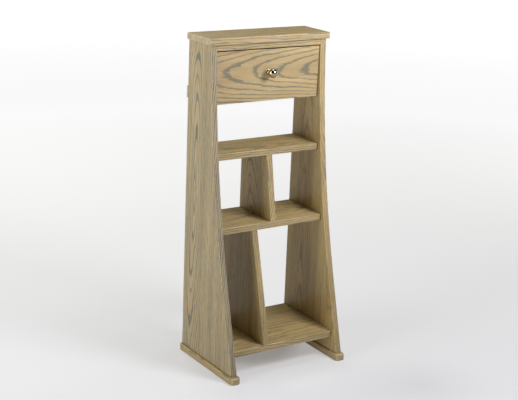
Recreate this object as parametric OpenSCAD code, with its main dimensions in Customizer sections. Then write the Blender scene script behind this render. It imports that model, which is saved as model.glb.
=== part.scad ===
// Video game storage tower: two boards with a concave front edge stand on foot
// rails and carry three shelves, two dividers, a small drawer and a top board.
// Millimetres. +X is to the right seen from the front, the front faces -Y and
// the origin is on the floor, in the middle of the space between the feet.

/* [Overall] */
// Height from the floor to the top face
total_h = 980; // [950:1:1020]
// Clear width between the two sides
inner_w = 356; // [320:1:420]
// Thickness of the sides, shelves and dividers
board_t = 19; // [17:0.5:22]
// Width of the small flat that eases each long edge
arris = 1.2; // [0.5:0.1:2]

/* [Sides] */
// Depth of a side where it stands on its foot
side_depth = 291; // [280:1:310]
// Lean of the straight lower part of the front edge, in degrees
front_lean = 14.8; // [13.5:0.1:15.5]
// Height of that straight part, above the foot
lean_h = 242; // [220:1:270]
// Radius of the hollow curve above it
front_r = 3100; // [2900:10:3300]
// Depth of the grooves that hold the shelves and rails
dado_d = 6; // [4:0.5:8]
// Distance that a groove stops short of the piece's front edge
dado_stop = 14; // [8:1:25]

/* [Feet] */
// Height of a foot rail
foot_h = 20.5; // [16:0.5:26]
// Width of a foot rail
foot_w = 32.5; // [28:0.5:40]
// Length of foot in front of the side
foot_front = 12; // [8:1:20]
// Distance that the feet and the wall cleat stand out behind the sides
wall_stand = 7; // [5:0.5:12]
// Radius of the foot's corners
foot_r = 10; // [6:0.5:13]
// Width of the slope round the foot's top edge
foot_ease = 3; // [1:0.5:4]

/* [Top board] */
// Thickness of the top board
top_t = 19; // [16:0.5:24]
// Overhang past each side
top_over_side = 8; // [5:0.5:15]
// Overhang past the front
top_over_front = 8.5; // [5:0.5:15]
// Radius of the top board's upright corners
top_r = 4; // [3:0.5:8]
// Width of the slope round the top board's edges
top_ease = 1.5; // [0.5:0.5:2.5]

/* [Shelves and dividers] */
// Height of the bottom shelf's top face above the floor
bottom_shelf_h = 84.5; // [70:0.5:110]
// Height of the middle shelf's top face above the floor
middle_shelf_h = 434; // [400:1:470]
// Height of the upper shelf's top face above the floor
upper_shelf_h = 647; // [610:1:670]
// Distance from a side's front edge back to a shelf's front
shelf_setback = 12.5; // [8:0.5:18]
// Clip across the shelves' front corners
shelf_clip = 3; // [1:0.5:5]
// Middle of the upper divider, right of the centre
upper_divider_x = 4.5; // [-60:0.5:60]
// Middle of the lower divider, right of the centre
lower_divider_x = -60; // [-80:0.5:-40]
// Depth of the grooves that hold the dividers
divider_dado_d = 5; // [3:0.5:7]

/* [Rails and cleat] */
// Height of the front rail over the drawer
rail_h = 18; // [15:0.5:22]
// Height of the back rail under the top board
back_rail_h = 36; // [30:1:38]
// Shoulder round the stub tenons on the rails
rail_shoulder = 4; // [3:0.5:5]
// Height of the wall cleat
cleat_h = 35; // [30:1:50]
// Height of the cleat's lower edge above the drawer front's
cleat_rise = 0.5; // [0:0.5:20]

/* [Drawer] */
// Height of the drawer front
drawer_front_h = 151; // [145:1:160]
// Thickness of the drawer front
drawer_front_t = 19; // [16:0.5:22]
// Gap at each end of the drawer front
front_gap = 1.5; // [1:0.1:3]
// Gap above the drawer front
front_top_gap = 3.5; // [2:0.1:5]
// Distance that the drawer front lies behind the front rail
drawer_recess = 3; // [0:0.5:6]
// Height of the drawer box
box_h = 112; // [90:1:118]
// Height of the box's lower edge above the drawer front's
box_lift = 10; // [5:0.5:15]
// Gap between the box and each side of the tower
box_gap = 2; // [1.5:0.1:3]
// Distance from the sides' back edge to the box
box_back_gap = 10; // [6:1:16]
// Thickness of the box's sides
box_side_t = 14; // [13:0.5:16]
// Thickness of the box's front and back
box_end_t = 12; // [10:0.5:15]
// Depth of the rabbets that hold the box's ends
box_rabbet = 4.5; // [3:0.5:5]
// Thickness of the drawer bottom
bottom_t = 6; // [4:0.5:8]
// Height of the drawer bottom above the box's lower edge
bottom_lift = 8; // [6:0.5:12]
// Depth of the grooves that hold the drawer bottom
bottom_groove = 4.5; // [3:0.5:6]

/* [Runners] */
// Distance that a runner stands out from the side
runner_t = 8; // [7:0.5:9]
// Height of a runner
runner_h = 16; // [12:0.5:20]
// Height of the runner above the box's lower edge
runner_rise = 52; // [40:1:60]
// Clearance over a runner and at its front stop
seat_gap = 0.3; // [0.2:0.05:0.5]
// Clearance under a runner and at its inner face
slack_gap = 0.6; // [0.4:0.1:1]

/* [Knob] */
// Height of the knob above the drawer front's lower edge
knob_rise = 84.5; // [60:0.5:100]
// Diameter of the ball
ball_d = 28; // [22:0.5:34]
// Distance from the drawer front to the ball's centre
ball_reach = 21; // [18:0.5:28]
// Diameter of the neck at its waist
neck_d = 9; // [8:0.5:12]
// Diameter of the round foot of the knob
rose_d = 17; // [15:0.5:20]
// Thickness of that foot
rose_t = 2.5; // [1.5:0.5:3]
// Diameter of the machine screw that holds the knob
knob_screw_d = 4; // [3:0.5:5]
// Depth of the screw inside the knob
knob_screw_in = 14; // [8:1:18]

/* [Wood screws] */
// Diameter of a wood screw's shank
screw_d = 4; // [3:0.5:5]
// Diameter of its countersunk head
screw_head_d = 8; // [7:0.5:9]
// Length of the screws through the feet
foot_screw_l = 45; // [35:1:60]
// Distance from a side's front and back edges to its outer foot screws
foot_screw_inset = 40; // [25:1:60]
// Length of the screws through the rails into the top board
top_screw_l = 28; // [22:1:30]
// Length of the screws through the runners
runner_screw_l = 20; // [16:1:23]
// Distance from the drawer box's front and back faces to those screws
runner_screw_inset = 19; // [14:1:28]
// Length of the screws through the cleat
cleat_screw_l = 30; // [20:1:40]
// Distance from the cleat's upper and lower edges to those screws
cleat_screw_inset = 9; // [7:0.5:10]
// Length of the screws through the box front into the drawer front
front_screw_l = 24; // [18:1:26]
// Distance from the box's inner side faces to those screws
front_screw_inset = 48; // [30:1:70]
// Distance from the box's upper and lower edges to those screws
front_screw_edge = 26; // [26:1:32]

/* [Hidden] */

$fn = 48;
// Facets of a whole circle of the front edge's large radius
edge_fn = 1440;
// Length by which a cut runs past the face it starts from
over = 1;
// Thickness of a glue line in a groove
glue_gap = 0.1;
// Radial clearance of a screw in its hole
screw_fit = 0.1;
// Distance that a screw head lies under the surface
head_sink = 0.6;
// Height of a wood screw's countersunk head
screw_head_h = (screw_head_d - screw_d) / 2;
// Head of the knob's machine screw
knob_head_d = 2 * knob_screw_d;
knob_head_h = 0.7 * knob_screw_d;
// Radius of the hollow round the knob's neck, and its middle's height
cove_r = (ball_reach - rose_t) / 2;
cove_h = rose_t + 0.7 * cove_r;

// Heights above the floor
side_top = total_h - top_t;
lean_top = foot_h + lean_h;
rail_low = side_top - rail_h;
back_rail_low = side_top - back_rail_h;
front_high = rail_low - front_top_gap;
front_low = front_high - drawer_front_h;
cleat_low = front_low + cleat_rise;
box_low = front_low + box_lift;
runner_low = box_low + runner_rise;
bottom_low = box_low + bottom_lift;
knob_h = front_low + knob_rise;

// Widths: the middle of each side board, and the half widths of the drawer
side_x = (inner_w + board_t) / 2;
half_w = inner_w / 2;
box_half = half_w - box_gap;
box_in = box_half - box_side_t;
groove_d = runner_t - box_gap + slack_gap;

// The centre of the hollow curve, as depth in front of the back edge and height
lean_top_depth = side_depth - lean_h * tan(front_lean);
curve_depth = lean_top_depth + front_r * cos(front_lean);
curve_h = lean_top + front_r * sin(front_lean);

// Depth of a side at height z
function front_depth(z) = z < lean_top
  ? side_depth - (z - foot_h) * tan(front_lean)
  : curve_depth - sqrt(pow(front_r, 2) - pow(z - curve_h, 2));

// Depth of a shelf whose top face is at height z
function shelf_depth(z) = front_depth(z) - shelf_setback;

rail_depth = front_depth(side_top);
front_depth_y = rail_depth - drawer_recess;
box_front_y = front_depth_y - drawer_front_t;
foot_l = foot_front + side_depth + wall_stand;
back_y = foot_l / 2 - wall_stand;

wood = [0.62, 0.55, 0.42];
pale_wood = [0.74, 0.65, 0.49];
box_wood = [0.80, 0.72, 0.56];
steel = [0.72, 0.72, 0.70];
nickel = [0.80, 0.76, 0.68];

// Every piece is drawn with y as its depth in front of the sides' back edge
module from_back() {
  translate([0, back_y, 0]) mirror([0, 1, 0]) children();
}

// Stands an outline of depth and height upright, t thick about x = 0
module side_on(t) {
  rotate([90, 0, 90]) linear_extrude(t, center = true) children();
}

// Rectangle whose corners are clipped, by c[0] at the origin and then round
module clipped_rect(w, h, c) {
  polygon(concat(
    c[0] > 0 ? [[0, c[0]], [c[0], 0]] : [[0, 0]],
    c[1] > 0 ? [[w - c[1], 0], [w, c[1]]] : [[w, 0]],
    c[2] > 0 ? [[w, h - c[2]], [w - c[2], h]] : [[w, h]],
    c[3] > 0 ? [[c[3], h], [0, h - c[3]]] : [[0, h]]
  ));
}

// Bar with every edge eased, w along x, l along y and h along z
module eased_bar(w, l, h, c) {
  all = [c, c, c, c];
  intersection() {
    translate([-w / 2, 0, 0]) linear_extrude(h) clipped_rect(w, l, all);
    side_on(w) clipped_rect(l, h, all);
    translate([-w / 2, l, 0]) rotate([90, 0, 0]) linear_extrude(l) clipped_rect(w, h, all);
  }
}

// Slab with round upright corners, w along x about x = 0, l along y and h high;
// its lower and upper edges are eased by low and high
module rounded_slab(w, l, h, r, low, high) {
  clips = [low, low, high, high];
  side_on(w - 2 * r) clipped_rect(l, h, clips);
  translate([-w / 2, l - r, 0]) rotate([90, 0, 0]) linear_extrude(l - 2 * r) clipped_rect(w, h, clips);
  for (x = [-w / 2 + r, w / 2 - r], y = [r, l - r]) translate([x, y, 0]) rotate_extrude() intersection() {
    translate([-r, 0]) clipped_rect(2 * r, h, clips);
    square([r, h]);
  }
}

// Triangle that eases an edge at the origin, for wood on the side x > 0 of it
module arris_cut() {
  polygon([[arris + over, -over], [-over, arris + over], [-over, -over]]);
}

// Eases both front edges of a board t thick along the straight line between
// two points that are given as depth and height, the lower one first
module ease_line(t, low, high) {
  run = high - low;
  length = norm(run) + 2 * over;
  for (m = [0, 1]) mirror([m, 0, 0])
    translate([-t / 2, low[0], low[1]]) rotate([90 - atan2(run[1], run[0]), 0, 0])
      translate([0, 0, -over]) rotate([0, 0, -90]) linear_extrude(length) arris_cut();
}

// Eases both front edges of a side along the hollow curve
module ease_curve(t) {
  top_angle = asin((curve_h - side_top) / front_r) - atan(over / front_r);
  translate([0, curve_depth, curve_h]) rotate([90, 0, 90])
    for (m = [0, 1]) mirror([0, 0, m]) translate([0, 0, -t / 2])
      rotate([0, 0, 180 + top_angle])
        rotate_extrude(angle = front_lean - top_angle, $fn = edge_fn)
          translate([front_r, 0]) arris_cut();
}

// Outline of a side, as depth and height
module side_outline() {
  difference() {
    polygon([
      [0, foot_h], [side_depth, foot_h], [lean_top_depth, lean_top],
      [lean_top_depth, side_top], [0, side_top]
    ]);
    translate([curve_depth, curve_h]) circle(front_r, $fn = edge_fn);
  }
}

// Groove across a side's inner face for the shelf whose top face is at height z
module shelf_dado(z) {
  translate([-over, -over, z - board_t - glue_gap])
    cube([dado_d + over, shelf_depth(z) - dado_stop + over + glue_gap, board_t + 2 * glue_gap]);
}

// Stub tenon and, with gap, its mortise: h is the rail's height and y its back
module rail_tenon(y, z, h, gap) {
  translate([-over, y + rail_shoulder - gap, z + rail_shoulder - gap])
    cube([
      dado_d + over - (gap > 0 ? 0 : glue_gap), board_t - 2 * rail_shoulder + 2 * gap,
      h - 2 * rail_shoulder + 2 * gap
    ]);
}

// Right-hand side board; its inner face looks towards -x
module side_board() {
  difference() {
    translate([side_x, 0, 0]) difference() {
      side_on(board_t) side_outline();
      ease_line(board_t, [side_depth, foot_h], [lean_top_depth, lean_top]);
      ease_curve(board_t);
      mirror([0, 1, 0]) ease_line(board_t, [0, foot_h], [0, side_top]);
    }
    translate([half_w, 0, 0]) {
      for (z = [bottom_shelf_h, middle_shelf_h, upper_shelf_h]) shelf_dado(z);
      rail_tenon(rail_depth - board_t, rail_low, rail_h, glue_gap);
      rail_tenon(0, back_rail_low, back_rail_h, glue_gap);
    }
    foot_screw_places() screw_bore(foot_screw_l);
    runner_screw_places() screw_bore(runner_screw_l);
    cleat_screw_places() screw_bore(cleat_screw_l);
  }
}

module side_left() {
  color(wood) from_back() mirror([1, 0, 0]) side_board();
}

module side_right() {
  color(wood) from_back() side_board();
}

// Foot rail under the right-hand side
module foot_rail() {
  difference() {
    translate([side_x, -wall_stand, 0]) rounded_slab(foot_w, foot_l, foot_h, foot_r, 0, foot_ease);
    foot_screw_places() screw_bore(foot_screw_l);
  }
}

module foot_left() {
  color(wood) from_back() mirror([1, 0, 0]) foot_rail();
}

module foot_right() {
  color(wood) from_back() foot_rail();
}

module top_board() {
  w = inner_w + 2 * board_t + 2 * top_over_side;
  l = rail_depth + top_over_front;
  color(wood) from_back() difference() {
    translate([0, 0, side_top]) rounded_slab(w, l, top_t, top_r, top_ease, top_ease);
    top_screw_places() screw_bore(top_screw_l);
  }
}

// Rail between the sides, with its back at y
module rail(y, z, h) {
  translate([0, y, z]) side_on(inner_w) clipped_rect(board_t, h, [0, arris, 0, 0]);
  for (m = [0, 1]) mirror([m, 0, 0]) translate([half_w, 0, 0]) rail_tenon(y, z, h, 0);
}

module top_rail() {
  color(wood) from_back() difference() {
    rail(rail_depth - board_t, rail_low, rail_h);
    top_screw_places() screw_bore(top_screw_l);
  }
}

module back_rail() {
  color(wood) from_back() difference() {
    rail(0, back_rail_low, back_rail_h);
    top_screw_places() screw_bore(top_screw_l, back_rail_h);
  }
}

module wall_cleat() {
  w = inner_w + 2 * board_t;
  color(wood) from_back() difference() {
    translate([0, -wall_stand, cleat_low]) eased_bar(w, wall_stand, cleat_h, arris);
    for (m = [0, 1]) mirror([m, 0, 0]) cleat_screw_places() screw_bore(cleat_screw_l);
  }
}

// Shelf with its top face at height z and a tongue along each end
module shelf(z) {
  l = shelf_depth(z);
  tongue_w = inner_w + 2 * (dado_d - glue_gap);
  translate([0, 0, z - board_t]) {
    intersection() {
      translate([-half_w, 0, 0]) linear_extrude(board_t)
        clipped_rect(inner_w, l, [0, 0, shelf_clip, shelf_clip]);
      side_on(inner_w) clipped_rect(l, board_t, [0, arris, arris, 0]);
    }
    translate([-tongue_w / 2, 0, 0]) cube([tongue_w, l - dado_stop, board_t]);
  }
}

// Tongue of a divider and, with gap, its groove, from height z up by h
module divider_tongue(x, l, z, h, gap) {
  back = gap > 0 ? over : 0;
  translate([x - board_t / 2 - gap, -back, z]) cube([board_t + 2 * gap, l - dado_stop + gap + back, h]);
}

module upper_shelf() {
  under = upper_shelf_h - board_t;
  color(wood) from_back() difference() {
    shelf(upper_shelf_h);
    divider_tongue(upper_divider_x, shelf_depth(upper_shelf_h), under - over, divider_dado_d + over, glue_gap);
  }
}

module middle_shelf() {
  under = middle_shelf_h - board_t;
  l = shelf_depth(middle_shelf_h);
  color(wood) from_back() difference() {
    shelf(middle_shelf_h);
    divider_tongue(upper_divider_x, l, middle_shelf_h - divider_dado_d, divider_dado_d + over, glue_gap);
    divider_tongue(lower_divider_x, l, under - over, divider_dado_d + over, glue_gap);
  }
}

module bottom_shelf() {
  l = shelf_depth(bottom_shelf_h);
  color(wood) from_back() difference() {
    shelf(bottom_shelf_h);
    divider_tongue(lower_divider_x, l, bottom_shelf_h - divider_dado_d, divider_dado_d + over, glue_gap);
  }
}

// Divider between the shelves whose top faces are at heights low and high; its
// front edge runs straight from one shelf's front to the other's
module divider(x, low, high) {
  under = high - board_t;
  low_l = shelf_depth(low);
  high_l = shelf_depth(high);
  tongue_h = divider_dado_d - glue_gap;
  translate([x, 0, 0]) difference() {
    side_on(board_t) polygon([[0, low], [low_l, low], [high_l, under], [0, under]]);
    ease_line(board_t, [low_l, low], [high_l, under]);
  }
  divider_tongue(x, low_l, low - tongue_h, tongue_h, 0);
  divider_tongue(x, high_l, under, tongue_h, 0);
}

module upper_divider() {
  color(wood) from_back() divider(upper_divider_x, middle_shelf_h, upper_shelf_h);
}

module lower_divider() {
  color(wood) from_back() divider(lower_divider_x, bottom_shelf_h, middle_shelf_h);
}

// Strip on the right-hand side's inner face that carries the drawer; its front
// end is the drawer's stop
module runner() {
  back = box_back_gap / 2;
  difference() {
    translate([half_w - runner_t, back, runner_low])
      cube([runner_t, box_front_y - seat_gap - back, runner_h]);
    runner_screw_places() screw_bore(runner_screw_l);
  }
}

module runner_left() {
  color(box_wood) from_back() mirror([1, 0, 0]) runner();
}

module runner_right() {
  color(box_wood) from_back() runner();
}

// Drawer side at +x: grooved outside for its runner and inside for the bottom
module drawer_side() {
  l = box_front_y - box_back_gap;
  difference() {
    translate([box_in, box_back_gap, box_low]) cube([box_side_t, l, box_h]);
    translate([box_half - groove_d, 0, runner_low - slack_gap])
      cube([groove_d + over, box_front_y + over, runner_h + slack_gap + seat_gap]);
    for (y = [box_back_gap - over, box_front_y - box_end_t - glue_gap])
      translate([box_in - over, y, box_low - over])
        cube([box_rabbet + over, box_end_t + over + glue_gap, box_h + 2 * over]);
    bottom_panel(glue_gap);
  }
}

module drawer_side_left() {
  color(box_wood) from_back() mirror([1, 0, 0]) drawer_side();
}

module drawer_side_right() {
  color(box_wood) from_back() drawer_side();
}

// Board across the box with its back at y
module box_end(y) {
  w = 2 * (box_in + box_rabbet - glue_gap);
  translate([-w / 2, y, box_low]) cube([w, box_end_t, box_h]);
}

module drawer_box_front() {
  color(box_wood) from_back() difference() {
    box_end(box_front_y - box_end_t);
    bottom_panel(glue_gap);
    front_screw_places() screw_bore(front_screw_l);
    knob_screw_shape(screw_fit);
  }
}

module drawer_back() {
  color(box_wood) from_back() difference() {
    box_end(box_back_gap);
    bottom_panel(glue_gap);
  }
}

// Bottom panel of the drawer and, with gap, the grooves that hold it
module bottom_panel(gap) {
  slip = gap > 0 ? 0 : glue_gap;
  half = box_in + bottom_groove - slip;
  low = box_back_gap + box_end_t - bottom_groove + slip;
  high = box_front_y - box_end_t + bottom_groove - slip;
  translate([-half, low, bottom_low - gap]) cube([2 * half, high - low, bottom_t + 2 * gap]);
}

module drawer_bottom() {
  color(box_wood) from_back() bottom_panel(0);
}

module drawer_front() {
  color(pale_wood) from_back() difference() {
    translate([0, box_front_y, front_low])
      eased_bar(inner_w - 2 * front_gap, drawer_front_t, drawer_front_h, arris);
    front_screw_places() screw_bore(front_screw_l);
    knob_screw_shape(screw_fit);
  }
}

// Half section of the knob: a round foot, a waisted neck and a ball
module knob_section() {
  square([rose_d / 2, rose_t]);
  difference() {
    square([neck_d / 2 + cove_r / 2, ball_reach]);
    translate([neck_d / 2 + cove_r, cove_h]) circle(cove_r);
  }
  translate([0, ball_reach]) intersection() {
    circle(d = ball_d);
    translate([0, -ball_d]) square([ball_d, 2 * ball_d]);
  }
}

module knob() {
  color(nickel) from_back() difference() {
    translate([0, front_depth_y, knob_h]) rotate([-90, 0, 0]) rotate_extrude($fn = 72) knob_section();
    knob_screw_shape(screw_fit);
  }
}

// Machine screw from inside the drawer into the knob; its head lies in a recess
module knob_screw_shape(gap) {
  head_y = box_front_y - box_end_t + head_sink;
  length = front_depth_y + knob_screw_in - head_y;
  translate([0, head_y, knob_h]) rotate([-90, 0, 0]) {
    translate([0, 0, gap > 0 ? -head_sink - over : 0])
      cylinder(h = knob_head_h + (gap > 0 ? head_sink + over : 0), d = knob_head_d + 2 * gap);
    cylinder(h = length + gap, d = knob_screw_d + 2 * gap);
  }
}

module knob_screw() {
  color(steel) from_back() knob_screw_shape(0);
}

// Countersunk wood screw along +z, with its head's face at the origin
module wood_screw(length) {
  slot = screw_d / 6;
  difference() {
    union() {
      cylinder(h = screw_head_h, d1 = screw_head_d, d2 = screw_d);
      cylinder(h = length - screw_d, d = screw_d);
      translate([0, 0, length - screw_d]) cylinder(h = screw_d, d1 = screw_d, d2 = screw_d / 4);
    }
    for (a = [0, 90]) rotate([0, 0, a])
      translate([-screw_d / 2, -slot / 2, -over]) cube([screw_d, slot, over + screw_head_h / 2]);
  }
}

// Hole for that screw, counterbored for a length of deep in front of its head
module screw_bore(length, deep = 0) {
  translate([0, 0, -head_sink - over - deep])
    cylinder(h = head_sink + over + deep, d = screw_head_d + 2 * screw_fit);
  cylinder(h = screw_head_h, d1 = screw_head_d + 2 * screw_fit, d2 = screw_d + 2 * screw_fit);
  cylinder(h = length + screw_fit, d = screw_d + 2 * screw_fit);
}

// Three screws through the right-hand foot into the side's end
module foot_screw_places() {
  for (y = [foot_screw_inset, side_depth / 2, side_depth - foot_screw_inset])
    translate([side_x, y, head_sink + over]) children();
}

// Two screws up through each rail into the top board
module top_screw_places() {
  for (x = [-half_w / 2, half_w / 2], y = [board_t / 2, rail_depth - board_t / 2])
    translate([x, y, side_top - rail_h + head_sink]) children();
}

// Two screws through the right-hand runner
module runner_screw_places() {
  for (y = [box_back_gap + runner_screw_inset, box_front_y - runner_screw_inset])
    translate([half_w - runner_t + head_sink, y, runner_low + runner_h / 2])
      rotate([0, 90, 0]) children();
}

// Two screws through the cleat into the right-hand side's back edge
module cleat_screw_places() {
  for (z = [cleat_screw_inset, cleat_h - cleat_screw_inset])
    translate([side_x, head_sink - wall_stand, cleat_low + z]) rotate([-90, 0, 0]) children();
}

// Four screws through the box front into the drawer front
module front_screw_places() {
  x = box_in - front_screw_inset;
  for (s = [-x, x], z = [front_screw_edge, box_h - front_screw_edge])
    translate([s, box_front_y - box_end_t + head_sink, box_low + z])
      rotate([-90, 0, 0]) children();
}

module top_screws() {
  color(steel) from_back() top_screw_places() wood_screw(top_screw_l);
}

module foot_screws() {
  color(steel) from_back() for (m = [0, 1]) mirror([m, 0, 0]) foot_screw_places() wood_screw(foot_screw_l);
}

module runner_screws() {
  color(steel) from_back() for (m = [0, 1]) mirror([m, 0, 0]) runner_screw_places() wood_screw(runner_screw_l);
}

module cleat_screws() {
  color(steel) from_back() for (m = [0, 1]) mirror([m, 0, 0]) cleat_screw_places() wood_screw(cleat_screw_l);
}

module front_screws() {
  color(steel) from_back() front_screw_places() wood_screw(front_screw_l);
}

top_board();
side_left();
side_right();
top_rail();
back_rail();
upper_shelf();
middle_shelf();
bottom_shelf();
upper_divider();
lower_divider();
foot_left();
foot_right();
wall_cleat();
runner_left();
runner_right();
drawer_front();
drawer_box_front();
drawer_side_left();
drawer_side_right();
drawer_back();
drawer_bottom();
knob();
knob_screw();
top_screws();
foot_screws();
runner_screws();
cleat_screws();
front_screws();
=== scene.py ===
"""Dresses the game storage tower: limed oak boards, a polished nickel knob and steel screws."""

import logging
import math
from dataclasses import dataclass
from enum import Enum
from typing import Any, Union

import bpy
from mathutils import Matrix, Vector


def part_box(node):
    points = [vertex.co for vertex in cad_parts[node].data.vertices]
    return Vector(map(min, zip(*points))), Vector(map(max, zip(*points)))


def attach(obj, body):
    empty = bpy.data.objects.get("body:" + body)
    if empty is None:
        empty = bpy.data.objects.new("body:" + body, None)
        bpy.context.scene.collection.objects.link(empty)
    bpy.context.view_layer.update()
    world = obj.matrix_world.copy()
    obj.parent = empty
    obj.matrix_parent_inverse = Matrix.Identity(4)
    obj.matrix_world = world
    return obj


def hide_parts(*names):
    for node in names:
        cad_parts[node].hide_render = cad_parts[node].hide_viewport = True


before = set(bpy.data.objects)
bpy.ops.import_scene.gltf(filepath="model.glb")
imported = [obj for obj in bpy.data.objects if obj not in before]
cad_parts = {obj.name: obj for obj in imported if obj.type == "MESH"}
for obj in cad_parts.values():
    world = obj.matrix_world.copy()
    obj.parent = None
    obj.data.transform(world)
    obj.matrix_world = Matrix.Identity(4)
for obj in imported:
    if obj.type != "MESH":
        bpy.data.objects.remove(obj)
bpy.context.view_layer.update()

LOG = logging.getLogger("storage_tower")
MM = 0.001

Colour = tuple[float, float, float]
Number = Union["Sock", float]
Paint = Union[bpy.types.NodeSocket, Colour]

WHITE: Colour = (1.0, 1.0, 1.0)
BLACK: Colour = (0.0, 0.0, 0.0)
NOISE_MEAN = 0.5
FULL_SWING = 2.0  # makes noise that swings by 0.5 swing by 1


class Sock:
    """A number in a material. Python's operators on it add Math nodes."""

    def __init__(self, graph: "Graph", socket: bpy.types.NodeSocket) -> None:
        """Wraps an output socket of one of the graph's nodes."""
        self.graph = graph
        self.socket = socket

    def math(self, operation: str, *values: Number) -> "Sock":
        """Adds a Math node.

        Args:
            operation: the node's operation, such as "ADD".
            values: its inputs in order, each a Sock or a plain number.

        Returns:
            The node's result.
        """
        node = self.graph.node("ShaderNodeMath", {"operation": operation}, dict(enumerate(values)))
        return Sock(self.graph, node.outputs[0])

    def __add__(self, other: Number) -> "Sock":
        """Returns self + other."""
        return self.math("ADD", self, other)

    def __radd__(self, other: Number) -> "Sock":
        """Returns other + self."""
        return self.math("ADD", other, self)

    def __sub__(self, other: Number) -> "Sock":
        """Returns self - other."""
        return self.math("SUBTRACT", self, other)

    def __rsub__(self, other: Number) -> "Sock":
        """Returns other - self."""
        return self.math("SUBTRACT", other, self)

    def __mul__(self, other: Number) -> "Sock":
        """Returns self * other."""
        return self.math("MULTIPLY", self, other)

    def __rmul__(self, other: Number) -> "Sock":
        """Returns other * self."""
        return self.math("MULTIPLY", other, self)

    def __truediv__(self, other: Number) -> "Sock":
        """Returns self / other."""
        return self.math("DIVIDE", self, other)

    def root(self) -> "Sock":
        """Returns the square root."""
        return self.math("SQRT", self)

    def floor(self) -> "Sock":
        """Returns the whole number below."""
        return self.math("FLOOR", self)

    def size(self) -> "Sock":
        """Returns the value without its sign."""
        return self.math("ABSOLUTE", self)

    def most(self, other: Number) -> "Sock":
        """Returns the larger of the two."""
        return self.math("MAXIMUM", self, other)

    def above(self, limit: float) -> "Sock":
        """Returns 1 where the value is above the limit, and 0 elsewhere."""
        return self.math("GREATER_THAN", self, limit)

    def smooth(self, low: Number, high: Number) -> "Sock":
        """Returns a soft step.

        Args:
            low: the value at which the step leaves 0.
            high: the value at which it reaches 1.

        Returns:
            0 below low, 1 above high and an S-shaped rise between them.
        """
        node = self.graph.node(
            "ShaderNodeMapRange",
            {"interpolation_type": "SMOOTHSTEP"},
            {"Value": self, "From Min": low, "From Max": high},
        )
        return Sock(self.graph, node.outputs["Result"])


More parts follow.
